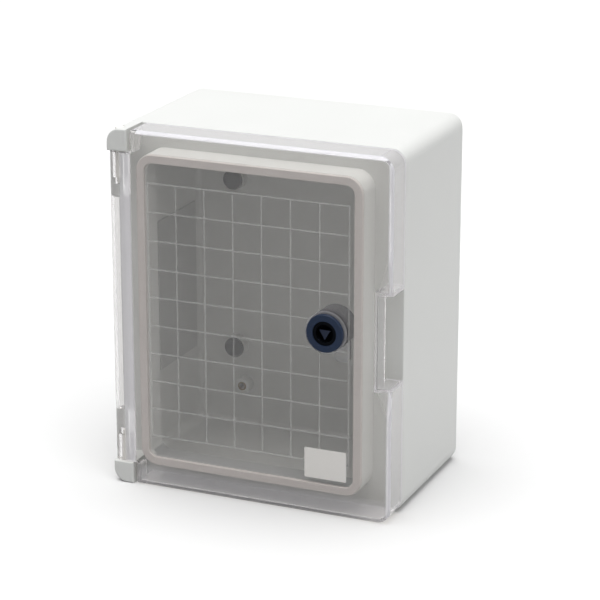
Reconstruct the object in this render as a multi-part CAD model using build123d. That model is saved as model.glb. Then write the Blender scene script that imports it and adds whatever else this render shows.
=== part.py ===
from build123d import *
import os

# A wall-mounted electrical enclosure in glass-filled polyester. A clear cap door
# closes on a foam seal round the front opening. It hangs on two vertical pins at
# the left and is held by a quarter-turn lock with a triangular key.
# All sizes are in millimetres. Depths are counted from the door's front face,
# backwards. The part is moved at the end, so that its origin is the middle of
# the base, with the door facing -Y.

# Overall
WIDTH = 250.0
HEIGHT = 308.0
DEPTH = 166.0
CORNER_R = 12.0

# Body shell
BODY_WALL = 3.5
BACK_R = 8.0
CAVITY_BACK_R = 5.0
SHOULDER_R = 1.0

# Door
DOOR_WALL = 3.0
DOOR_SKIRT = 29.0
DOOR_EDGE_R = 4.0
DOOR_GAP = 0.5
DOOR_SIDE_MARGIN = 22.0
END_WALL_DEPTH = 13.0

# Front opening, sealing collar and its foam strip
OPENING_SIDE_MARGIN = 33.0
OPENING_END_MARGIN = 27.0
OPENING_R = 7.0
COLLAR_WIDTH = 7.8
COLLAR_WALL = 4.0
COLLAR_LIP = 3.5
COLLAR_EDGE_R = 0.4
SEAL_WIDTH = 7.0
SEAL_THICKNESS = 3.0
SEAL_GAP = 0.2

# Hinge
HINGE_R = 8.5
HINGE_COLUMN_WALL = 2.8
HINGE_BLOCK_WIDTH = 18.5
HINGE_BLOCK_HEIGHT = 19.0
HINGE_BLOCK_EDGE_R = 1.5
KNUCKLE_GAP = 1.0
UPPER_KNUCKLE = 38.0
LOWER_KNUCKLE = 45.0
KNUCKLE_CHAMFER = 2.0
PIN_R = 2.5
PIN_LENGTH = 46.0
PIN_HEAD_R = 4.0
PIN_HEAD = 1.5
PIN_SUNK = 0.5
BUSH_R = 4.0
BUSH_LENGTH = 22.0
BUSH_FLANGE_R = 5.5
BUSH_FLANGE = 0.8
FIXED_FIT = 0.02
RUNNING_FIT = 0.06

# Finger grip in the free edge of the door
GRIP_DEPTH = 11.5
GRIP_LENGTH = 78.0
GRIP_RISE = 1.0
GRIP_LIP = 18.0
UPPER_FACET_LENGTH = 42.0
LOWER_FACET_LENGTH = 31.0
GRIP_FACET_DEPTH = 5.5

# Wall fixing tubes and their caps
WALL_FIX_SPACING_X = 166.0
WALL_FIX_SPACING_Z = 154.0
TUBE_R = 10.0
TUBE_BORE_R = 6.5
TUBE_HEIGHT = 8.0
WALL_HOLE_R = 3.5
CAP_R = 9.0
CAP_THICKNESS = 1.5
CAP_PLUG = 5.0
CAP_WALL = 1.5

# Mounting plate bosses and their threaded inserts
PLATE_SPACING_X = 150.0
PLATE_SPACING_Z = 224.0
BOSS_R = 7.0
BOSS_HEIGHT = 10.0
INSERT_R = 4.0
INSERT_BORE_R = 2.5
INSERT_LENGTH = 9.0

# Flat raised field on the inside of the left wall
FIELD_RAISE = 0.8
FIELD_FROM_FRONT = 84.0
FIELD_LENGTH = 73.0
FIELD_LOW = 73.0
FIELD_HIGH = 207.0

# Lock, from the front backwards
LOCK_FROM_SIDE = 55.0
LOCK_RISE = 5.0
RAISED_BOSS_R = 18.0
RAISED_BOSS = 2.0
SLEEVE_R = 17.0
SLEEVE_BORE_R = 14.0
SLEEVE_DEPTH = 24.0
SLEEVE_FLOOR = 3.0
NOSE_R = 9.8
NOSE_HOLE_R = 10.0
FACE_SEAL_THICKNESS = 0.5
FACE_SEAL_R = 15.5
BEZEL_R = 16.0
BEZEL_THICKNESS = 2.5
BEZEL_CHAMFER = 0.6
HOUSING_R = 13.8
HEAD_R = 10.0
HEAD_CLEARANCE = 0.1
HEAD_RECESS = 0.4
HEAD_LENGTH = 9.5
BEZEL_CLEARANCE = 0.3
WELL_R = 7.6
WELL_DEPTH = 6.5
KEY_SIDE = 9.5
KEY_RECESS = 0.8
WAVE_WASHER_THICKNESS = 1.4
WAVE_WASHER_BORE_R = 6.8
SHAFT_R = 6.0
SHAFT_CLEARANCE = 0.05
ORING_SECTION_R = 1.0
ORING_DEPTH = 12.0
NUT_WASHER_THICKNESS = 1.0
NUT_WASHER_R = 14.0
NUT_FLATS = 26.0
NUT_THICKNESS = 5.0
THREAD_CLEARANCE = 0.05

# Cam and its screw
CAM_GAP = 0.3
CAM_THICKNESS = 3.0
CAM_HUB_R = 9.0
CAM_WIDTH = 14.0
CAM_REACH = 36.0
CAM_BEHIND_SHOULDER = 0.7
DRIVE_SQUARE = 8.0
DRIVE_CLEARANCE = 0.1
CAM_WASHER_R = 7.0
CAM_WASHER_THICKNESS = 1.2
CAM_WASHER_CLEARANCE = 0.2
SCREW_R = 2.45
SCREW_CLEARANCE = 0.05
SCREW_LENGTH = 14.0
SCREW_HEAD_R = 4.8
SCREW_HEAD = 3.0
SCREW_SOCKET_FLATS = 4.0
SCREW_SOCKET_DEPTH = 2.0

# Blank label inside the door
LABEL_WIDTH = 37.0
LABEL_HEIGHT = 26.0
LABEL_THICKNESS = 0.2
LABEL_FROM_SIDE = 5.0
LABEL_FROM_BASE = 4.2
LABEL_R = 1.0

# Places worked out from the sizes above
OVER = 1.0
LEFT = -WIDTH / 2
RIGHT = WIDTH / 2
MIDDLE_Z = HEIGHT / 2
COLLAR_FRONT = DOOR_WALL + SEAL_GAP + SEAL_THICKNESS
LIP_BACK = COLLAR_FRONT + COLLAR_LIP
SHOULDER = DOOR_SKIRT + DOOR_GAP
SHOULDER_BACK = SHOULDER + BODY_WALL
DOOR_LEFT = LEFT + DOOR_SIDE_MARGIN
DOOR_LOW = DOOR_GAP
DOOR_HIGH = HEIGHT - DOOR_GAP
HINGE_X = LEFT + HINGE_R
HINGE_DEPTH = HINGE_R
COLUMN_LOW = HINGE_BLOCK_HEIGHT + KNUCKLE_GAP
COLUMN_HIGH = HEIGHT - COLUMN_LOW
BACK_WALL = DEPTH - BODY_WALL
LOCK_X = RIGHT - LOCK_FROM_SIDE
LOCK_Z = MIDDLE_Z + LOCK_RISE
GRIP_Z = MIDDLE_Z + GRIP_RISE
FACE_SEAL_FRONT = -RAISED_BOSS - FACE_SEAL_THICKNESS
BEZEL_FRONT = FACE_SEAL_FRONT - BEZEL_THICKNESS
HEAD_FRONT = BEZEL_FRONT + HEAD_RECESS
HEAD_BACK = HEAD_FRONT + HEAD_LENGTH
SLEEVE_STEP = SLEEVE_DEPTH - SLEEVE_FLOOR
NUT_FRONT = SLEEVE_DEPTH + NUT_WASHER_THICKNESS
NUT_BACK = NUT_FRONT + NUT_THICKNESS
CAM_FRONT = SHOULDER_BACK + CAM_BEHIND_SHOULDER
CAM_BACK = CAM_FRONT + CAM_THICKNESS
NOSE_BACK = CAM_FRONT - CAM_GAP
CAM_WASHER_BACK = CAM_BACK + CAM_WASHER_THICKNESS
ORIGIN_SHIFT = (-BEZEL_FRONT - DEPTH) / 2

# The four corners of the back wall, by name: to the side and up
CORNERS = {
    "upper_left": (-1, 1),
    "upper_right": (1, 1),
    "lower_left": (-1, -1),
    "lower_right": (1, -1),
}


def slab(sketch, near, far):
    """A sketch drawn as seen from the front, made solid from depth near to depth far."""
    return Pos(0, far, 0) * extrude(Plane.XZ * sketch, amount=far - near)


def panel(x0, x1, z0, z1, radius):
    """A rounded rectangle as seen from the front."""
    return Pos((x0 + x1) / 2, (z0 + z1) / 2) * RectangleRounded(x1 - x0, z1 - z0, radius)


def opening_outline(grow):
    """The front opening's outline, grown outwards by grow."""
    side = OPENING_SIDE_MARGIN - grow
    end = OPENING_END_MARGIN - grow
    return panel(LEFT + side, RIGHT - side, end, HEIGHT - end, OPENING_R + grow)


def disc(radius, near, far, x=LOCK_X, z=LOCK_Z):
    """A round bar along the depth, at the lock unless x and z say otherwise."""
    return slab(Pos(x, z) * Circle(radius), near, far)


def ring(radius, bore, near, far):
    """A round ring on the lock's axis."""
    return slab(Pos(LOCK_X, LOCK_Z) * (Circle(radius) - Circle(bore)), near, far)


def wall_fixing(corner):
    """The place of the wall fixing tube in one corner of the back wall."""
    side, end = corner
    return side * WALL_FIX_SPACING_X / 2, MIDDLE_Z + end * WALL_FIX_SPACING_Z / 2


def plate_fixing(corner):
    """The place of the mounting plate boss in one corner of the back wall."""
    side, end = corner
    return side * PLATE_SPACING_X / 2, MIDDLE_Z + end * PLATE_SPACING_Z / 2


def upright(radius, low, high):
    """A round bar along the hinge axis."""
    return Pos(HINGE_X, HINGE_DEPTH, low) * extrude(Circle(radius), amount=high - low)


def hinge_block(low, high):
    """One corner block of the body that carries a hinge pin."""
    outline = panel(LEFT, RIGHT, 0, HEIGHT, CORNER_R)
    corner = Pos(LEFT + HINGE_BLOCK_WIDTH / 2, (low + high) / 2)
    outline = outline & (corner * Rectangle(HINGE_BLOCK_WIDTH, high - low))
    block = slab(outline, 0, SHOULDER_BACK)
    return fillet(block.faces().sort_by(Axis.Y)[0].edges(), HINGE_BLOCK_EDGE_R)


def pin_bore(low, high, head_low, head_high):
    """The hole for a pin and the sink for its head."""
    bore = upright(PIN_R + FIXED_FIT, low, high)
    return bore + upright(PIN_HEAD_R + 5 * FIXED_FIT, head_low, head_high)


def make_body_shell():
    """The moulded body: walls, sealing collar, hinge blocks and inner fixings."""
    main = slab(panel(LEFT, RIGHT, 0, HEIGHT, CORNER_R), SHOULDER, DEPTH)
    main = fillet(main.faces().sort_by(Axis.Y)[-1].edges(), BACK_R)
    main = fillet(main.faces().sort_by(Axis.Y)[0].edges(), SHOULDER_R)
    collar = slab(opening_outline(COLLAR_WIDTH), COLLAR_FRONT, SHOULDER_BACK)
    collar = fillet(collar.faces().sort_by(Axis.Y)[0].edges(), COLLAR_EDGE_R)
    body = main + collar
    body += hinge_block(0, HINGE_BLOCK_HEIGHT)
    body += hinge_block(HEIGHT - HINGE_BLOCK_HEIGHT, HEIGHT)

    inset = BODY_WALL
    inner = panel(LEFT + inset, RIGHT - inset, inset, HEIGHT - inset, CORNER_R - inset)
    cavity = slab(inner, SHOULDER_BACK, BACK_WALL)
    cavity = fillet(cavity.faces().sort_by(Axis.Y)[-1].edges(), CAVITY_BACK_R)
    cavity += slab(opening_outline(COLLAR_WIDTH - COLLAR_WALL), LIP_BACK, SHOULDER_BACK + OVER)
    cavity += slab(opening_outline(0), 0, LIP_BACK + OVER)
    body -= cavity

    field = Box(FIELD_RAISE + OVER, FIELD_LENGTH, FIELD_HIGH - FIELD_LOW)
    field_x = LEFT + inset + (FIELD_RAISE - OVER) / 2
    field_depth = FIELD_FROM_FRONT + FIELD_LENGTH / 2
    body += Pos(field_x, field_depth, (FIELD_LOW + FIELD_HIGH) / 2) * field

    for corner in CORNERS.values():
        x, z = wall_fixing(corner)
        body += disc(TUBE_R, BACK_WALL - TUBE_HEIGHT, BACK_WALL, x, z)
        body -= disc(TUBE_BORE_R, BACK_WALL - TUBE_HEIGHT - OVER, BACK_WALL, x, z)
        body -= disc(WALL_HOLE_R, BACK_WALL - OVER, DEPTH + OVER, x, z)
        x, z = plate_fixing(corner)
        body += disc(BOSS_R, BACK_WALL - BOSS_HEIGHT, BACK_WALL, x, z)
        hole = BACK_WALL - BOSS_HEIGHT
        body -= disc(INSERT_R + FIXED_FIT, hole - OVER, hole + INSERT_LENGTH, x, z)

    low_block = HINGE_BLOCK_HEIGHT + OVER
    head = PIN_SUNK + PIN_HEAD
    body -= pin_bore(-OVER, low_block, -OVER, head)
    body -= pin_bore(HEIGHT - low_block, HEIGHT + OVER, HEIGHT - head, HEIGHT + OVER)
    return body


def make_door_seal():
    """The foam strip that lies on the front of the collar."""
    edge = (COLLAR_WIDTH - SEAL_WIDTH) / 2
    strip = opening_outline(COLLAR_WIDTH - edge) - opening_outline(edge)
    seal = slab(strip, COLLAR_FRONT - SEAL_THICKNESS, COLLAR_FRONT)
    front = seal.faces().sort_by(Axis.Y)[0]
    return fillet(front.edges(), SEAL_THICKNESS / 4)


def door_outline(inset):
    """The cap's outline, rounded at its two right corners."""
    x0 = DOOR_LEFT + inset
    x1 = RIGHT - inset
    z0 = DOOR_LOW + inset
    z1 = DOOR_HIGH - inset
    outline = Pos((x0 + x1) / 2, (z0 + z1) / 2) * Rectangle(x1 - x0, z1 - z0)
    return fillet(outline.vertices().group_by(Axis.X)[-1], CORNER_R - inset)


def grip_facet(end, inset):
    """What the sloping facet at one end of the finger grip takes off the free edge."""
    mouth = GRIP_Z + end * GRIP_LENGTH / 2
    tip = mouth + (UPPER_FACET_LENGTH if end > 0 else -LOWER_FACET_LENGTH)
    start = Vector(RIGHT, 0, tip)
    across = Vector(RIGHT - GRIP_DEPTH, 0, mouth)
    down = Vector(RIGHT, GRIP_FACET_DEPTH, mouth)
    normal = (across - start).cross(down - start).normalized()
    if normal.X < 0:
        normal = normal * -1
    size = 2 * WIDTH
    face = Plane(origin=across - normal * inset, z_dir=normal)
    outside = face * Pos(0, 0, size / 2) * Box(size, size, size)
    beyond = Pos(0, 0, mouth + end * (size / 2 - inset)) * Box(2 * size, 2 * size, size)
    return outside & beyond


def make_door_panel():
    """The clear door: cap with its skirt, finger grip, hinge column and knuckles."""
    cap = slab(door_outline(0), 0, DOOR_SKIRT)
    front = cap.faces().sort_by(Axis.Y)[0]
    rounded = [edge for edge in front.edges() if edge.center().X > DOOR_LEFT + OVER]
    cap = fillet(rounded, DOOR_EDGE_R)
    hollow = slab(door_outline(DOOR_WALL), DOOR_WALL, DOOR_SKIRT + OVER)
    front = hollow.faces().sort_by(Axis.Y)[0]
    rounded = [edge for edge in front.edges() if edge.center().X > DOOR_LEFT + DOOR_WALL + OVER]
    hollow = fillet(rounded, DOOR_EDGE_R - DOOR_WALL)
    for end in (-1, 1):
        cap -= grip_facet(end, 0)
        hollow -= grip_facet(end, DOOR_WALL)
    kept = Rectangle(2 * (GRIP_DEPTH + DOOR_WALL), GRIP_LENGTH + 2 * DOOR_WALL)
    hollow -= slab(Pos(RIGHT, GRIP_Z) * kept, 0, DOOR_SKIRT + OVER)
    cap -= hollow

    recess = Rectangle(2 * GRIP_DEPTH, GRIP_LENGTH)
    cap -= slab(Pos(RIGHT, GRIP_Z) * recess, -OVER, DOOR_SKIRT + OVER)
    undercut = Rectangle(2 * (GRIP_DEPTH + DOOR_WALL + OVER), GRIP_LENGTH)
    cap -= slab(Pos(RIGHT, GRIP_Z) * undercut, GRIP_LIP, DOOR_SKIRT + OVER)

    end_gap = OPENING_END_MARGIN - COLLAR_WIDTH - OVER
    beside = Pos(DOOR_LEFT, MIDDLE_Z) * Rectangle(2 * DOOR_WALL, HEIGHT - 2 * end_gap)
    cap -= slab(beside, DOOR_WALL, DOOR_SKIRT + OVER)
    behind = Pos(DOOR_LEFT, MIDDLE_Z) * Rectangle(2 * DOOR_WALL, HEIGHT - 2 * DOOR_GAP - 2 * DOOR_WALL)
    cap -= slab(behind, END_WALL_DEPTH, DOOR_SKIRT + OVER)

    arc = Circle(HINGE_R) - Circle(HINGE_R - HINGE_COLUMN_WALL)
    arc -= Pos(HINGE_R / 2, HINGE_R / 2) * Rectangle(HINGE_R, HINGE_R)
    bridge_width = DOOR_LEFT + DOOR_WALL - HINGE_X
    bridge = Pos(bridge_width / 2, DOOR_WALL / 2 - HINGE_R) * Rectangle(bridge_width, DOOR_WALL)
    column = Pos(HINGE_X, HINGE_DEPTH, COLUMN_LOW) * extrude(
        arc + bridge, amount=COLUMN_HIGH - COLUMN_LOW
    )
    lower = upright(HINGE_R, COLUMN_LOW, COLUMN_LOW + LOWER_KNUCKLE)
    lower = chamfer(lower.faces().sort_by(Axis.Z)[-1].edges(), KNUCKLE_CHAMFER)
    upper = upright(HINGE_R, COLUMN_HIGH - UPPER_KNUCKLE, COLUMN_HIGH)
    upper = chamfer(upper.faces().sort_by(Axis.Z)[0].edges(), KNUCKLE_CHAMFER)
    door = cap + column + lower + upper

    pin_room = PIN_LENGTH + OVER
    door -= upright(PIN_R + RUNNING_FIT, COLUMN_LOW - OVER, PIN_SUNK + pin_room)
    door -= upright(PIN_R + RUNNING_FIT, HEIGHT - PIN_SUNK - pin_room, COLUMN_HIGH + OVER)
    door -= upright(BUSH_R + FIXED_FIT, COLUMN_LOW - OVER, COLUMN_LOW + BUSH_LENGTH)
    door -= upright(BUSH_R + FIXED_FIT, COLUMN_HIGH - BUSH_LENGTH, COLUMN_HIGH + OVER)

    door += disc(RAISED_BOSS_R, -RAISED_BOSS, DOOR_WALL)
    return door - disc(SLEEVE_BORE_R, -RAISED_BOSS - OVER, DOOR_WALL + OVER)


def make_hinge_pin(top):
    """A headed pin, pushed in through its block from outside."""
    pin = upright(PIN_R, PIN_SUNK, PIN_SUNK + PIN_LENGTH)
    pin = chamfer(pin.faces().sort_by(Axis.Z)[-1].edges(), PIN_R / 4)
    pin += upright(PIN_HEAD_R, PIN_SUNK, PIN_SUNK + PIN_HEAD)
    if top:
        pin = mirror(pin, about=Plane.XY.offset(MIDDLE_Z))
    return pin


def make_hinge_bush(top):
    """A flanged bush that lines a knuckle and takes the door's weight on its flange."""
    bush = upright(BUSH_R, COLUMN_LOW, COLUMN_LOW + BUSH_LENGTH)
    bush += upright(BUSH_FLANGE_R, COLUMN_LOW - BUSH_FLANGE, COLUMN_LOW)
    bush -= upright(PIN_R + RUNNING_FIT, 0, COLUMN_LOW + BUSH_LENGTH + OVER)
    if top:
        bush = mirror(bush, about=Plane.XY.offset(MIDDLE_Z))
    return bush


def make_fixing_cap(corner):
    """An insulating cap that closes one wall fixing tube."""
    x, z = wall_fixing(corner)
    top = BACK_WALL - TUBE_HEIGHT
    plug_r = TUBE_BORE_R - FIXED_FIT
    lid = disc(CAP_R, top - CAP_THICKNESS, top, x, z)
    lid = fillet(lid.faces().sort_by(Axis.Y)[0].edges(), CAP_THICKNESS / 2)
    lid += disc(plug_r, top, top + CAP_PLUG, x, z)
    return lid - disc(plug_r - CAP_WALL, top, top + CAP_PLUG + OVER, x, z)


def make_plate_insert(corner):
    """The threaded insert moulded into one mounting plate boss."""
    x, z = plate_fixing(corner)
    top = BACK_WALL - BOSS_HEIGHT
    insert = disc(INSERT_R, top, top + INSERT_LENGTH, x, z)
    return insert - disc(INSERT_BORE_R, top - OVER, top + INSERT_LENGTH + OVER, x, z)


def make_blank_label():
    """A blank film label stuck inside the door, in the lower right of the opening."""
    x1 = RIGHT - OPENING_SIDE_MARGIN - LABEL_FROM_SIDE
    z0 = OPENING_END_MARGIN + LABEL_FROM_BASE
    film = panel(x1 - LABEL_WIDTH, x1, z0, z0 + LABEL_HEIGHT, LABEL_R)
    return slab(film, DOOR_WALL, DOOR_WALL + LABEL_THICKNESS)


def make_lock_bezel():
    """The coloured ring that covers the lock's edge."""
    bezel = ring(BEZEL_R, HEAD_R + BEZEL_CLEARANCE, BEZEL_FRONT, FACE_SEAL_FRONT)
    outer = bezel.faces().sort_by(Axis.Y)[0].edges().sort_by(SortBy.LENGTH)[-1]
    return chamfer(outer, BEZEL_CHAMFER)


def make_lock_face_seal():
    """The flat seal between the bezel and the door's raised boss."""
    return ring(FACE_SEAL_R, SLEEVE_BORE_R, FACE_SEAL_FRONT, -RAISED_BOSS)


def make_lock_sleeve():
    """The spacer cup behind the door that the housing stands in."""
    sleeve = ring(SLEEVE_R, SLEEVE_BORE_R, DOOR_WALL, SLEEVE_DEPTH)
    return sleeve + ring(SLEEVE_R, NOSE_HOLE_R, SLEEVE_STEP, SLEEVE_DEPTH)


def make_lock_housing():
    """The lock's barrel, with a threaded nose that passes through the sleeve's floor."""
    housing = disc(HOUSING_R, FACE_SEAL_FRONT, SLEEVE_STEP)
    housing += disc(NOSE_R, SLEEVE_STEP, NOSE_BACK)
    seat = HEAD_BACK + WAVE_WASHER_THICKNESS
    housing -= disc(HEAD_R + HEAD_CLEARANCE, FACE_SEAL_FRONT - OVER, seat)
    housing -= disc(SHAFT_R + SHAFT_CLEARANCE, 0, NOSE_BACK + OVER)
    return housing


def make_lock_wave_washer():
    """The spring washer that keeps the spindle from turning by itself."""
    return ring(HEAD_R - HEAD_CLEARANCE, WAVE_WASHER_BORE_R, HEAD_BACK, HEAD_BACK + WAVE_WASHER_THICKNESS)


def make_lock_spindle():
    """The turning spindle: a head with a triangular key post, a shaft and a square."""
    spindle = disc(HEAD_R, HEAD_FRONT, HEAD_BACK)
    spindle += disc(SHAFT_R, HEAD_BACK, NOSE_BACK)
    drive = Pos(LOCK_X, LOCK_Z) * Rectangle(DRIVE_SQUARE, DRIVE_SQUARE)
    spindle += slab(drive, NOSE_BACK, CAM_BACK - DRIVE_CLEARANCE)
    spindle -= disc(WELL_R, HEAD_FRONT - OVER, HEAD_FRONT + WELL_DEPTH)
    post = Pos(LOCK_X, LOCK_Z) * Rot(0, 0, -90) * RegularPolygon(
        KEY_SIDE / 3**0.5, 3, major_radius=True
    )
    spindle += slab(post, HEAD_FRONT + KEY_RECESS, HEAD_FRONT + WELL_DEPTH)
    groove = ORING_SECTION_R
    spindle -= ring(SHAFT_R + OVER, SHAFT_R - 2 * groove, ORING_DEPTH - groove, ORING_DEPTH + groove)
    tapped = CAM_WASHER_BACK - SCREW_LENGTH - OVER
    spindle -= disc(SCREW_R + SCREW_CLEARANCE, tapped, CAM_BACK + OVER)
    return spindle


def make_spindle_oring():
    """The ring in the shaft's groove that keeps water out."""
    section = ORING_SECTION_R - FIXED_FIT
    torus = Torus(SHAFT_R - ORING_SECTION_R, section)
    return Pos(LOCK_X, ORING_DEPTH, LOCK_Z) * Rot(90, 0, 0) * torus


def make_lock_nut_washer():
    """The washer between the nut and the sleeve's floor."""
    return ring(NUT_WASHER_R, NOSE_HOLE_R, SLEEVE_DEPTH, NUT_FRONT)


def make_lock_nut():
    """The hexagon nut that clamps the housing."""
    hexagon = RegularPolygon(NUT_FLATS / 2, 6, major_radius=False) - Circle(NOSE_R + THREAD_CLEARANCE)
    nut = slab(Pos(LOCK_X, LOCK_Z) * hexagon, NUT_FRONT, NUT_BACK)
    cone_r = NUT_FLATS / 2 * 1.12
    return nut & chamfer(disc(cone_r, NUT_FRONT, NUT_BACK).edges(), THREAD_CLEARANCE * 10)


def make_cam():
    """The flat cam. It hangs down when released and catches behind the shoulder at the right."""
    arm = Pos(LOCK_X, LOCK_Z - CAM_REACH / 2) * Rectangle(CAM_WIDTH, CAM_REACH)
    arm = fillet(arm.vertices().group_by(Axis.Y)[0], CAM_WIDTH / 3)
    hub = Pos(LOCK_X, LOCK_Z) * Circle(CAM_HUB_R)
    hole = DRIVE_SQUARE + DRIVE_CLEARANCE
    square = Pos(LOCK_X, LOCK_Z) * Rectangle(hole, hole)
    return slab(arm + hub - square, CAM_FRONT, CAM_BACK)


def make_cam_washer():
    """The washer under the cam screw's head."""
    return ring(CAM_WASHER_R, SCREW_R + CAM_WASHER_CLEARANCE, CAM_BACK, CAM_WASHER_BACK)


def make_cam_screw():
    """The socket screw that holds the cam on the spindle."""
    screw = disc(SCREW_HEAD_R, CAM_WASHER_BACK, CAM_WASHER_BACK + SCREW_HEAD)
    screw = fillet(screw.faces().sort_by(Axis.Y)[-1].edges(), SCREW_HEAD / 4)
    screw += disc(SCREW_R, CAM_WASHER_BACK - SCREW_LENGTH, CAM_WASHER_BACK)
    socket = Pos(LOCK_X, LOCK_Z) * RegularPolygon(SCREW_SOCKET_FLATS / 2, 6, major_radius=False)
    back = CAM_WASHER_BACK + SCREW_HEAD
    return screw - slab(socket, back - SCREW_SOCKET_DEPTH, back + OVER)


NODES = {
    "body_shell": make_body_shell,
    "door_seal": make_door_seal,
    "upper_hinge_pin": lambda: make_hinge_pin(True),
    "lower_hinge_pin": lambda: make_hinge_pin(False),
    "door_panel": make_door_panel,
    "upper_hinge_bush": lambda: make_hinge_bush(True),
    "lower_hinge_bush": lambda: make_hinge_bush(False),
    "blank_label": make_blank_label,
    "lock_bezel": make_lock_bezel,
    "lock_face_seal": make_lock_face_seal,
    "lock_sleeve": make_lock_sleeve,
    "lock_housing": make_lock_housing,
    "lock_nut_washer": make_lock_nut_washer,
    "lock_nut": make_lock_nut,
    "lock_spindle": make_lock_spindle,
    "lock_wave_washer": make_lock_wave_washer,
    "spindle_oring": make_spindle_oring,
    "cam": make_cam,
    "cam_washer": make_cam_washer,
    "cam_screw": make_cam_screw,
}
for place, corner in CORNERS.items():
    NODES[f"{place}_fixing_cap"] = lambda corner=corner: make_fixing_cap(corner)
    NODES[f"{place}_plate_insert"] = lambda corner=corner: make_plate_insert(corner)

os.makedirs("parts", exist_ok=True)
for name, make in NODES.items():
    export_step(Pos(0, ORIGIN_SHIFT, 0) * make(), f"parts/{name}.step")
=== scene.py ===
from math import cos, pi, radians, sin

import bmesh
import bpy
from mathutils import Matrix, Vector


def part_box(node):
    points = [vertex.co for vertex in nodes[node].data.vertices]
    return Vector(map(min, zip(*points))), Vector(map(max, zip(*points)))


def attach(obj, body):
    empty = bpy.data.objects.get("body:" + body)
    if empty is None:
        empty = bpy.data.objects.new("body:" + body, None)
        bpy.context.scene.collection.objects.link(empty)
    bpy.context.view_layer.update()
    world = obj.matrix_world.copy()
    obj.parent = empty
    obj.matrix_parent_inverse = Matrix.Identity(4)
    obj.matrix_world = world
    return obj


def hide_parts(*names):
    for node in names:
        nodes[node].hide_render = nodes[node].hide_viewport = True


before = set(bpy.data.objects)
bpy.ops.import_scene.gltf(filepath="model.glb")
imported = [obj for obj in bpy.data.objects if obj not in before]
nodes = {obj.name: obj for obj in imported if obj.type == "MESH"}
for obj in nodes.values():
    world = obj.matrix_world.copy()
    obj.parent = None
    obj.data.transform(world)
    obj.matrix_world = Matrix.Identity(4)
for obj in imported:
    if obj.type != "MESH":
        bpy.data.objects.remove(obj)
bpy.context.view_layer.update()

# A wall-mounted electrical enclosure: a light grey body in glass-filled polyester,
# a clear polycarbonate door on two hinge pins, and a quarter-turn lock. Metres
# throughout, except that zones and the sizes of a grain are given in millimetres.
# The door faces -Y and the base stands on z = 0.
MM = 0.001


# Body shell
# One compression-moulded shell in light grey glass-filled polyester, screwed to the wall
# through four tubes in its back. Strands of glass lie just under its skin. A field on the
# left inner wall is painted darker than the rest, and the ledge under the opening carries painted shade.
def linear(code):
    """An sRGB hex colour as linear RGBA."""
    parts = [int(code[i:i + 2], 16) / 255 for i in (1, 3, 5)]
    return [p / 12.92 if p <= 0.04045 else ((p + 0.055) / 1.055) ** 2.4 for p in parts] + [1.0]


def add(tree, kind, sockets=None, **settings):
    """One node with its settings. A socket takes a value, an output or a node."""
    node = tree.nodes.new(kind)
    for key, value in settings.items():
        setattr(node, key, value)
    for key, value in (sockets or {}).items():
        if isinstance(value, bpy.types.Node):
            value = next(output for output in value.outputs if output.enabled)
        if isinstance(value, bpy.types.NodeSocket):
            tree.links.new(value, node.inputs[key])
        else:
            node.inputs[key].default_value = value
    return node


def start_material(name):
    """An empty node material, with its tree and the object's own coordinates."""
    material = bpy.data.materials.new(name)
    material.use_nodes = True
    tree = material.node_tree
    tree.nodes.clear()
    place = add(tree, "ShaderNodeTexCoord").outputs["Object"]
    return material, tree, place


# Noise lies mostly between these two levels.
NOISE_LOW = 0.3
NOISE_HIGH = 0.7


def blotches(tree, place, size_mm, dark, light):
    """Noise with blotches about size_mm across, and the colour that it gives between two."""
    noise = add(tree, "ShaderNodeTexNoise", {"Vector": place, "Scale": 1 / (size_mm * MM)})
    colour = add(tree, "ShaderNodeMix", {
        "Factor": noise, "A": linear(dark), "B": linear(light)}, data_type="RGBA")
    return noise, colour


def grained(tree, place, size_mm, depth_mm, detail=2, over=None):
    """A relief with grains about size_mm across and depth_mm high, over another relief."""
    noise = add(tree, "ShaderNodeTexNoise", {
        "Vector": place, "Scale": 1 / (size_mm * MM), "Detail": detail})
    sockets = {"Height": noise, "Distance": depth_mm * MM}
    if over is not None:
        sockets["Normal"] = over
    return add(tree, "ShaderNodeBump", sockets)


def inside(tree, place, low_mm, high_mm, soft_mm):
    """One inside a box, and zero past the soft margin round it."""
    axes = add(tree, "ShaderNodeSeparateXYZ", {"Vector": place}).outputs
    found = 1.0
    for axis, low, high in zip(axes, low_mm, high_mm):
        past_low = add(tree, "ShaderNodeMapRange", {
            "Value": axis, "From Min": (low - soft_mm) * MM, "From Max": low * MM})
        short_of_high = add(tree, "ShaderNodeMapRange", {
            "Value": axis, "From Min": high * MM, "From Max": (high + soft_mm) * MM,
            "To Min": 1.0, "To Max": 0.0})
        both = add(tree, "ShaderNodeMath", {0: past_low, 1: short_of_high}, operation="MULTIPLY")
        found = add(tree, "ShaderNodeMath", {0: both, 1: found}, operation="MULTIPLY")
    return found


def strongest(tree, zones, shares):
    """The largest of the named zones, each times its share."""
    found = 0.0
    for name, share in shares.items():
        part = add(tree, "ShaderNodeMath", {0: zones[name], 1: share}, operation="MULTIPLY")
        found = add(tree, "ShaderNodeMath", {0: part, 1: found}, operation="MAXIMUM")
    return found


# Each zone is a box's low corner, its high corner and its soft margin, in millimetres.
# Zones painted darker grey: a field on the left inner wall, and painted shade on the ledge under the
# opening.
DARKENED_ZONES = {
    "left_wall_darker_field": ((-122, 3, 72.5), (-120.5, 76, 207.5), 0.6),
    "ledge_painted_shade": ((-94, -76, 22), (94, -44, 27.2), 1.5),
}
DARKENING = {"left_wall_darker_field": 0.42, "ledge_painted_shade": 0.85}


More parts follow.
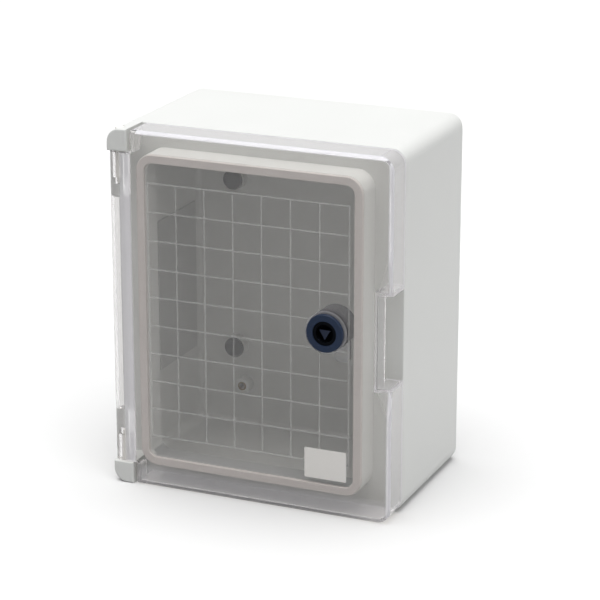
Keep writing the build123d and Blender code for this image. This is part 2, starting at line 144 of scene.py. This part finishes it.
def moulded_polyester():
    """Sheet-moulded polyester. It looks satin and faintly clouded, with a fine orange peel."""
    material, tree, place = start_material("grp_light_grey_moulded")
    cloud, colour = blotches(tree, place, 45, "#CBCCCA", "#D1D2D0")
    # The strands are six times as long in X and Z as in Y.
    flow = add(tree, "ShaderNodeMapping", {"Vector": place, "Scale": (1, 6, 1)})
    strands = add(tree, "ShaderNodeTexNoise", {"Vector": flow, "Scale": 1 / (5 * MM), "Detail": 3})
    near_skin = add(tree, "ShaderNodeMapRange", {
        "Value": strands, "From Min": 0.62, "From Max": 0.72, "To Max": 0.2})
    colour = add(tree, "ShaderNodeMix", {
        "Factor": near_skin, "A": colour, "B": linear("#DADBD9")}, data_type="RGBA")
    zones = {name: inside(tree, place, *zone) for name, zone in DARKENED_ZONES.items()}
    # Painted shade on the ledge and a darker field on the left inner wall, mixed toward dark grey.
    colour = add(tree, "ShaderNodeMix", {
        "Factor": strongest(tree, zones, DARKENING), "A": colour, "B": linear("#8E8F90"),
    }, data_type="RGBA")
    roughness = add(tree, "ShaderNodeMapRange", {
        "Value": cloud, "From Min": NOISE_LOW, "From Max": NOISE_HIGH, "To Min": 0.42, "To Max": 0.52})
    orange_peel = grained(tree, place, 2.2, 0.008)
    shader = add(tree, "ShaderNodeBsdfPrincipled", {
        "Base Color": colour,
        "Roughness": roughness,
        "IOR": 1.54,
        "Normal": grained(tree, place, 0.35, 0.004, over=orange_peel),
    })
    add(tree, "ShaderNodeOutputMaterial", {"Surface": shader})
    return material


def dress(material, *names):
    """The CAD nodes take this material."""
    for name in names:
        nodes[name].material_slots[0].material = material


dress(moulded_polyester(), "body_shell")


# Door seal
# A polyurethane strip, foamed in place on the front of the collar, where it sticks by
# itself. It is pinkish grey and has a smooth skin over fine open cells.
def polyurethane_foam():
    """Soft foam. It looks dull, with pin-prick cells in a smooth skin.
    The cells are drawn coarser than the real ones, so that they show."""
    material, tree, place = start_material("polyurethane_foam_strip")
    cells = add(tree, "ShaderNodeTexVoronoi", {"Vector": place, "Scale": 1 / (0.9 * MM)})
    skin = add(tree, "ShaderNodeMapRange", {"Value": cells, "From Min": 0.12, "From Max": 0.3})
    swell, colour = blotches(tree, place, 12, "#C5BEBC", "#CDC7C5")
    colour = add(tree, "ShaderNodeMix", {
        "Factor": skin, "A": linear("#AAA3A1"), "B": colour}, data_type="RGBA")
    pitted = add(tree, "ShaderNodeBump", {"Height": skin, "Distance": 0.08 * MM})
    shader = add(tree, "ShaderNodeBsdfPrincipled", {
        "Base Color": colour,
        "Roughness": 0.85,
        "IOR": 1.45,
        "Normal": add(tree, "ShaderNodeBump", {"Height": swell, "Distance": 0.1 * MM, "Normal": pitted}),
    })
    add(tree, "ShaderNodeOutputMaterial", {"Surface": shader})
    return material


dress(polyurethane_foam(), "door_seal")


# Wall fixing caps
# Four insulating caps in black glass-filled nylon, pushed on to close the wall fixing
# tubes. Their mould was spark-eroded, which leaves them dull and finely grained.
CORNERS = ("upper_left", "upper_right", "lower_left", "lower_right")


def moulded_nylon(name, dark, light, rough, gloss=0.2, painted_highlight=None):
    """Nylon. It looks dull and slightly mottled, and a zone with a painted highlight is paler.
    The eroded grain is drawn coarser than the real one, so that it shows."""
    material, tree, place = start_material(name)
    mottle, colour = blotches(tree, place, 3, dark, light)
    if painted_highlight:
        zone, highlight_colour = painted_highlight
        # A painted highlight: this zone is mixed toward a paler colour.
        colour = add(tree, "ShaderNodeMix", {
            "Factor": inside(tree, place, *zone), "A": colour, "B": linear(highlight_colour),
        }, data_type="RGBA")
    roughness = add(tree, "ShaderNodeMapRange", {
        "Value": mottle, "From Min": NOISE_LOW, "From Max": NOISE_HIGH,
        "To Min": rough - 0.05, "To Max": rough + 0.08})
    shader = add(tree, "ShaderNodeBsdfPrincipled", {
        "Base Color": colour,
        "Roughness": roughness,
        "IOR": 1.53,
        "Specular IOR Level": gloss,
        "Normal": grained(tree, place, 0.25, 0.012, detail=1),
    })
    add(tree, "ShaderNodeOutputMaterial", {"Surface": shader})
    return material


black_nylon = moulded_nylon("nylon_black_glass_filled", "#0D0E10", "#16181B", rough=0.4)
dress(black_nylon, *[f"{corner}_fixing_cap" for corner in CORNERS])


# Plate inserts
# Four threaded bushes, turned from brass bar and moulded into the bosses that carry a
# mounting plate. Their cut faces have tarnished brown.
def turned_brass():
    """Machined brass. It looks brown and half dull, with fine marks of the cut."""
    material, tree, place = start_material("brass_turned")
    tarnish, colour = blotches(tree, place, 2.5, "#8C7747", "#756037")
    roughness = add(tree, "ShaderNodeMapRange", {
        "Value": tarnish, "From Min": NOISE_LOW, "From Max": NOISE_HIGH, "To Min": 0.4, "To Max": 0.55})
    shader = add(tree, "ShaderNodeBsdfPrincipled", {
        "Base Color": colour,
        "Metallic": 1.0,
        "Roughness": roughness,
        "Normal": grained(tree, place, 0.2, 0.005, detail=1),
    })
    add(tree, "ShaderNodeOutputMaterial", {"Surface": shader})
    return material


dress(turned_brass(), *[f"{corner}_plate_insert" for corner in CORNERS])


# Hinge pins and bushes
# Headed pins, pushed into the body's corner blocks from outside, and flanged bushes, pressed
# into the door's knuckles. All are moulded in natural nylon, off-white and faintly mottled.
natural_nylon = moulded_nylon("nylon_natural", "#DEDDD8", "#E6E5E1", rough=0.45)
dress(natural_nylon, "upper_hinge_pin", "lower_hinge_pin", "upper_hinge_bush", "lower_hinge_bush")


# Door panel
# One injection moulding in clear polycarbonate, polished on both faces and hung on the
# pins. Its skirt, hinge column and lower rim are faintly milky and its rear edge is eroded.
# Its rounded front edge is painted milky white, a painted glow for light carried inside the wall.
DOOR_ZONES = {
    "rear_edge": ((-126, -51.7, -1), (126, -50, 309), 0.1),
    "front_wall": ((-98, -82, 6), (126, -76.5, 309), 0.5),
    "flat_of_front_wall": ((-130, -82, -9), (121.5, -76.5, 304.3), 1.2),
    "lower_rim": ((-98, -82, -1), (126, -76, 14), 8),
    "skirt": ((-105, -77, -1), (126, -50, 309), 0.5),
    "hinge_column": ((-131, -90, -1), (-105, -50, 309), 1.0),
    "column_web": ((-113, -90, -1), (-105, -50, 309), 1.5),
    "lock_boss": ((50, -83, 139), (90, -80.65, 179), 0.05),
}
MILK_AND_PAINTED_GLOW = {
    "rear_edge": 1.0,
    "rounded_edge_painted_glow": 0.6,
    "column_web": 0.4,
    "lock_boss": 0.2,
    "lower_rim": 0.16,
    "skirt": 0.13,
    "hinge_column": 0.08,
}


def clear_polycarbonate():
    """Clear polished polycarbonate. Light from lamps and dull surfaces goes straight through."""
    material, tree, place = start_material("polycarbonate_clear")
    zones = {name: inside(tree, place, *zone) for name, zone in DOOR_ZONES.items()}
    # The rounded front edge is the front wall less its flat part. It is painted milky white as a painted
    # glow.
    zones["rounded_edge_painted_glow"] = add(tree, "ShaderNodeMath", {
        0: zones["front_wall"], 1: zones["flat_of_front_wall"]}, operation="SUBTRACT")
    roughness = add(tree, "ShaderNodeMapRange", {
        "Value": zones["hinge_column"], "To Min": 0.02, "To Max": 0.05})
    glass = add(tree, "ShaderNodeBsdfPrincipled", {
        "Base Color": linear("#F4F3F2"),
        "Roughness": roughness,
        "IOR": 1.585,
        "Transmission Weight": 1.0,
        "Normal": grained(tree, place, 30, 0.01),
    })
    frosted = add(tree, "ShaderNodeBsdfDiffuse", {"Color": linear("#EAE9EE")})
    milk_and_glow = strongest(tree, zones, MILK_AND_PAINTED_GLOW)
    wall = add(tree, "ShaderNodeMixShader", {0: milk_and_glow, 1: glass, 2: frosted})
    through = add(tree, "ShaderNodeBsdfTransparent", {"Color": linear("#F2F1F0")})
    path = add(tree, "ShaderNodeLightPath").outputs
    lit = add(tree, "ShaderNodeMixShader", {0: path["Is Diffuse Ray"], 1: wall, 2: through})
    shader = add(tree, "ShaderNodeMixShader", {0: path["Is Shadow Ray"], 1: lit, 2: through})
    add(tree, "ShaderNodeOutputMaterial", {"Surface": shader})
    return material


dress(clear_polycarbonate(), "door_panel")


# Lines on the door
# A closed grid of thin frosted lines, moulded on the door's inner face, seven spaces wide
# and nine high. The lines stop at the lock.
LINE_STANDS_OFF = 0.15 * MM
GRID_X = -0.3 * MM
GRID_Z = 155.5 * MM


def frosted_line():
    """Roughened polycarbonate. It looks milky and half hides what is behind it."""
    material, tree, place = start_material("polycarbonate_frosted")
    frost, colour = blotches(tree, place, 0.8, "#E6E8EA", "#F2F3F4")
    cover = add(tree, "ShaderNodeMapRange", {
        "Value": frost, "From Min": NOISE_LOW, "From Max": NOISE_HIGH, "To Min": 0.12, "To Max": 0.17})
    shader = add(tree, "ShaderNodeBsdfPrincipled", {
        "Base Color": colour,
        "Roughness": 0.7,
        "IOR": 1.585,
        "Alpha": cover,
    })
    add(tree, "ShaderNodeOutputMaterial", {"Surface": shader})
    return material


def socket(group, name, kind, value=None, out=False):
    """One named socket of a node group."""
    made = group.interface.new_socket(name=name, in_out="OUTPUT" if out else "INPUT", socket_type=kind)
    if value is not None:
        made.default_value = value
    return made.identifier


def line_group():
    """A node group that pierces a thin sheet with windows, and cuts it back from the lock."""
    group = bpy.data.node_groups.new("door_lines", "GeometryNodeTree")
    sizes = {
        "Spaces Across": ("NodeSocketInt", 7),
        "Spaces Up": ("NodeSocketInt", 9),
        "Pitch X": ("NodeSocketFloat", 25.37 * MM),
        "Pitch Z": ("NodeSocketFloat", 24.3 * MM),
        "Line Width": ("NodeSocketFloat", 1.3 * MM),
        "Line Thickness": ("NodeSocketFloat", 0.1 * MM),
        "Lock Place": ("NodeSocketVector", None),
        "Lock Radius": ("NodeSocketFloat", 18.2 * MM),
        "Material": ("NodeSocketMaterial", None),
    }
    names = {name: socket(group, name, kind, value) for name, (kind, value) in sizes.items()}
    socket(group, "Geometry", "NodeSocketGeometry", out=True)
    given = add(group, "NodeGroupInput").outputs
    thick, line = given["Line Thickness"], given["Line Width"]
    extents, starts, clear = [], [], []
    for count, pitch in (("Spaces Across", "Pitch X"), ("Spaces Up", "Pitch Z")):
        extent = add(group, "ShaderNodeMath", {0: given[count], 1: given[pitch]}, operation="MULTIPLY")
        between_ends = add(group, "ShaderNodeMath", {0: extent, 1: given[pitch]}, operation="SUBTRACT")
        extents.append(add(group, "ShaderNodeMath", {0: extent, 1: line}, operation="ADD"))
        starts.append(add(group, "ShaderNodeMath", {0: between_ends, 1: -0.5}, operation="MULTIPLY"))
        clear.append(add(group, "ShaderNodeMath", {0: given[pitch], 1: line}, operation="SUBTRACT"))
    past_both_faces = add(group, "ShaderNodeMath", {0: thick, 1: 4.0}, operation="MULTIPLY")
    sheet_size = add(group, "ShaderNodeCombineXYZ", {"X": extents[0], "Y": thick, "Z": extents[1]})
    sheet = add(group, "GeometryNodeMeshCube", {"Size": sheet_size})
    window_size = add(group, "ShaderNodeCombineXYZ", {"X": clear[0], "Y": past_both_faces, "Z": clear[1]})
    window = add(group, "GeometryNodeMeshCube", {"Size": window_size})
    across = add(group, "GeometryNodeMeshLine", {
        "Count": given["Spaces Across"],
        "Start Location": add(group, "ShaderNodeCombineXYZ", {"X": starts[0]}),
        "Offset": add(group, "ShaderNodeCombineXYZ", {"X": given["Pitch X"]}),
    }, mode="OFFSET")
    up = add(group, "GeometryNodeMeshLine", {
        "Count": given["Spaces Up"],
        "Start Location": add(group, "ShaderNodeCombineXYZ", {"Z": starts[1]}),
        "Offset": add(group, "ShaderNodeCombineXYZ", {"Z": given["Pitch Z"]}),
    }, mode="OFFSET")
    column = add(group, "GeometryNodeInstanceOnPoints", {"Points": up, "Instance": window})
    windows = add(group, "GeometryNodeInstanceOnPoints", {"Points": across, "Instance": column})
    windows = add(group, "GeometryNodeRealizeInstances", {"Geometry": windows})
    plug = add(group, "GeometryNodeMeshCylinder", {
        "Vertices": 64, "Radius": given["Lock Radius"], "Depth": 10 * MM})
    plug = add(group, "GeometryNodeTransform", {
        "Geometry": plug, "Translation": given["Lock Place"], "Rotation": (pi / 2, 0, 0)})
    pierced = add(
        group, "GeometryNodeMeshBoolean", {"Mesh 1": sheet, "Mesh 2": windows}, operation="DIFFERENCE")
    cut = add(group, "GeometryNodeMeshBoolean", {"Mesh 1": pierced, "Mesh 2": plug}, operation="DIFFERENCE")
    single = add(group, "GeometryNodeRealizeInstances", {"Geometry": cut})
    painted = add(group, "GeometryNodeSetMaterial", {"Geometry": single, "Material": given["Material"]})
    add(group, "NodeGroupOutput", {"Geometry": painted})
    return group, names


def put(name, data):
    """A new object in the scene, with its origin at the frame's."""
    obj = bpy.data.objects.new(name, data)
    bpy.context.scene.collection.objects.link(obj)
    return obj


def settled(name, group, values):
    """The mesh object that a node group makes with these values."""
    empty = bpy.data.meshes.new(name)
    obj = put(name, empty)
    modifier = obj.modifiers.new(name, "NODES")
    modifier.node_group = group
    for key, value in values.items():
        modifier[key] = value
    bpy.context.view_layer.update()
    made = obj.evaluated_get(bpy.context.evaluated_depsgraph_get())
    mesh = bpy.data.meshes.new_from_object(made)
    obj.modifiers.clear()
    obj.data = mesh
    bpy.data.meshes.remove(empty)
    return obj


lines, line_names = line_group()
bezel_low, bezel_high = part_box("lock_bezel")
label_low, label_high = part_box("blank_label")
inner_face = label_low.y
lock_middle = (bezel_low + bezel_high) / 2
lock_middle.y = inner_face + LINE_STANDS_OFF
grid_middle = Vector((GRID_X, inner_face + LINE_STANDS_OFF, GRID_Z))
door_lines = settled("door_grid_lines", lines, {
    line_names["Lock Place"]: lock_middle - grid_middle,
    line_names["Material"]: frosted_line(),
})
door_lines.data.transform(Matrix.Translation(grid_middle))
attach(door_lines, "door")


# Lock mouldings
# Bezel ring, barrel, spindle and spacer cup of a quarter-turn lock, all moulded in nylon.
# The barrel stands in the cup behind the door, and the front of its key post is painted paler, a painted
# highlight.
# The front of the key post, painted paler as a painted highlight.
KEY_POST_FRONT = ((64.6, -84.5, 153), (75.4, -84.1, 163.5), 0.1)
blue_nylon = moulded_nylon("nylon_dark_blue", "#101F36", "#16273F", rough=0.42)
grey_nylon = moulded_nylon("nylon_dark_grey", "#434247", "#4D4C51", rough=0.5)
spindle_nylon = moulded_nylon(
    "nylon_black_unfilled", "#030509", "#07090D", rough=0.6, gloss=0.03, painted_highlight=(KEY_POST_FRONT, "#2B313F"))
dress(blue_nylon, "lock_bezel")
dress(black_nylon, "lock_housing")
dress(spindle_nylon, "lock_spindle")
dress(grey_nylon, "lock_sleeve")


# Lock nut, washers, cam and screw
# Turned and pressed steel, zinc plated. The nut clamps the barrel, the spring washer bears
# on the spindle's head, and the screw holds the flat cam on the spindle's square.
def plated_steel(name, blue, straw, smooth):
    """Zinc plate. It looks drawn, with a faint blue and straw cast from the passivation."""
    material, tree, place = start_material(name)
    _, colour = blotches(tree, place, 6, blue, straw)
    # The scratches are eight times as long in Z as they are wide.
    drawn = add(tree, "ShaderNodeMapping", {"Vector": place, "Scale": (8, 8, 1)})
    scratch = add(tree, "ShaderNodeTexNoise", {"Vector": drawn, "Scale": 1 / (2.5 * MM), "Detail": 3})
    roughness = add(tree, "ShaderNodeMapRange", {
        "Value": scratch, "From Min": NOISE_LOW, "From Max": NOISE_HIGH,
        "To Min": smooth, "To Max": smooth + 0.14})
    shader = add(tree, "ShaderNodeBsdfPrincipled", {
        "Base Color": colour,
        "Metallic": 1.0,
        "Roughness": roughness,
        "Normal": add(tree, "ShaderNodeBump", {"Height": scratch, "Distance": 0.008 * MM}),
    })
    add(tree, "ShaderNodeOutputMaterial", {"Surface": shader})
    return material


bright_zinc = plated_steel("steel_zinc_plated_bright", "#BFC4CC", "#CFCBBE", smooth=0.24)
dull_zinc = plated_steel("steel_zinc_plated_dull", "#7E8289", "#8A8880", smooth=0.45)
dress(bright_zinc, "lock_nut_washer", "lock_nut", "lock_wave_washer", "cam_washer", "cam_screw")
dress(dull_zinc, "cam")


# Lock seals
# A flat ring under the bezel and a round one in the spindle's groove, both moulded in
# black nitrile rubber and held by being squeezed.
def moulded_rubber():
    """Black nitrile rubber. It looks matt, with a dull bloom."""
    material, tree, place = start_material("rubber_nitrile_black")
    bloom, colour = blotches(tree, place, 1.5, "#17181A", "#222427")
    roughness = add(tree, "ShaderNodeMapRange", {
        "Value": bloom, "From Min": NOISE_LOW, "From Max": NOISE_HIGH, "To Min": 0.6, "To Max": 0.75})
    shader = add(tree, "ShaderNodeBsdfPrincipled", {
        "Base Color": colour,
        "Roughness": roughness,
        "IOR": 1.5,
        "Normal": add(tree, "ShaderNodeBump", {"Height": bloom, "Distance": 0.01 * MM}),
    })
    add(tree, "ShaderNodeOutputMaterial", {"Surface": shader})
    return material


dress(moulded_rubber(), "lock_face_seal", "spindle_oring")


# Blank label
# A bare film in white vinyl, cut with round corners and stuck inside the door, low at the
# right, with a thin film of air between it and the clear wall.
LABEL_RADIUS = 1.0 * MM
LABEL_TRIM = 0.05 * MM
LABEL_AIR = 0.02 * MM
LABEL_FILM = 0.06 * MM


def vinyl_film():
    """White vinyl film. It looks satin, with a trace of its paper's tooth."""
    material, tree, place = start_material("vinyl_film_white")
    tooth, colour = blotches(tree, place, 0.6, "#F8F8F6", "#FDFDFC")
    shader = add(tree, "ShaderNodeBsdfPrincipled", {
        "Base Color": colour,
        "Roughness": 0.45,
        "IOR": 1.5,
        "Normal": add(tree, "ShaderNodeBump", {"Height": tooth, "Distance": 0.004 * MM}),
    })
    add(tree, "ShaderNodeOutputMaterial", {"Surface": shader})
    return material


def rounded_sheet(name, low, high, radius, steps=6):
    """A thin upright sheet with round corners, from its low corner to its high one."""
    quarters = (
        (high.x - radius, high.z - radius, 0),
        (low.x + radius, high.z - radius, 90),
        (low.x + radius, low.z + radius, 180),
        (high.x - radius, low.z + radius, 270),
    )
    mesh = bpy.data.meshes.new(name)
    built = bmesh.new()
    outline = []
    for x, z, first in quarters:
        for i in range(steps + 1):
            angle = radians(first + 90 * i / steps)
            outline.append(built.verts.new((x + radius * cos(angle), low.y, z + radius * sin(angle))))
    raised = bmesh.ops.extrude_face_region(built, geom=[built.faces.new(outline)])["geom"]
    moved = [part for part in raised if isinstance(part, bmesh.types.BMVert)]
    bmesh.ops.translate(built, verts=moved, vec=(0, high.y - low.y, 0))
    bmesh.ops.recalc_face_normals(built, faces=built.faces)
    built.to_mesh(mesh)
    built.free()
    return put(name, mesh)


film_low = label_low + Vector((LABEL_TRIM, LABEL_AIR, LABEL_TRIM))
film_high = label_high - Vector((LABEL_TRIM, 0, LABEL_TRIM))
film_high.y = film_low.y + LABEL_FILM
label = rounded_sheet("label_film", film_low, film_high, LABEL_RADIUS)
label.data.materials.append(vinyl_film())
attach(label, "door")
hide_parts("blank_label")


# Studio
# A plain white floor under broad soft light, with one lamp overhead and two at the right.
# The camera looks from the right and from above, past the door to the object's middle.
def studio_floor():
    """Matt white floor that keeps the object's shadow and throws little light back."""
    material, tree, _ = start_material("floor_white")
    path = add(tree, "ShaderNodeLightPath").outputs
    colour = add(tree, "ShaderNodeMix", {
        "Factor": path["Is Diffuse Ray"], "A": linear("#DDDDDD"), "B": linear("#A8A8A8"),
    }, data_type="RGBA")
    shader = add(tree, "ShaderNodeBsdfDiffuse", {"Color": colour})
    add(tree, "ShaderNodeOutputMaterial", {"Surface": shader})
    return material


def make_floor(half_width):
    """A square of floor at the object's base."""
    mesh = bpy.data.meshes.new("floor")
    corners = [(-1, -1), (1, -1), (1, 1), (-1, 1)]
    mesh.from_pydata([(half_width * x, half_width * y, 0) for x, y in corners], [], [(0, 1, 2, 3)])
    mesh.materials.append(studio_floor())
    put("floor", mesh)


def make_sun(name, strength, tilt, turn, softness):
    """A distant lamp, tilted from overhead and turned about Z, in degrees."""
    light = bpy.data.lights.new(name, "SUN")
    light.energy = strength
    light.angle = radians(softness)
    put(name, light).rotation_euler = (radians(tilt), 0, radians(turn))


def make_softbox(name, power, width, place):
    """A round softbox at the right that faces the object, so the side is lighter low down."""
    light = bpy.data.lights.new(name, "AREA")
    light.shape = "DISK"
    light.size = width
    light.energy = power
    lamp = put(name, light)
    lamp.location = place
    lamp.rotation_euler = (radians(90), 0, radians(90))


def make_world(strength):
    """An even sky. The camera, glossy and clear surfaces see it as white."""
    world = bpy.data.worlds.new("sky")
    bpy.context.scene.world = world
    world.use_nodes = True
    tree = world.node_tree
    tree.nodes.clear()
    path = add(tree, "ShaderNodeLightPath").outputs
    seen = add(tree, "ShaderNodeMath", {
        0: path["Is Camera Ray"], 1: path["Is Glossy Ray"]}, operation="MAXIMUM")
    seen = add(tree, "ShaderNodeMath", {0: seen, 1: path["Is Transmission Ray"]}, operation="MAXIMUM")
    level = add(tree, "ShaderNodeMapRange", {"Value": seen, "To Min": strength, "To Max": 1.0})
    sky = add(tree, "ShaderNodeBackground", {"Color": linear("#FFFFFF"), "Strength": level})
    add(tree, "ShaderNodeOutputWorld", {"Surface": sky})


make_floor(half_width=6.0)
make_world(strength=0.28)
make_sun("overhead_softbox", strength=3.45, tilt=6, turn=-20, softness=60)
make_sun("right_softbox", strength=0.7, tilt=62, turn=58, softness=50)
make_softbox("low_right_softbox", power=0.8, width=0.4, place=(0.65, 0.1, 0.02))

CAMERA_PLACE = (0.7873, -1.7881, 0.7841)
CAMERA_PITCH = 72.102
CAMERA_TURN = 23.442
CAMERA_LENS = 146.69
camera = put("camera", bpy.data.cameras.new("camera"))
camera.data.lens = CAMERA_LENS
camera.location = CAMERA_PLACE
camera.rotation_euler = (radians(CAMERA_PITCH), 0, radians(CAMERA_TURN))
bpy.context.scene.camera = camera
bpy.context.scene.view_settings.view_transform = "Standard"
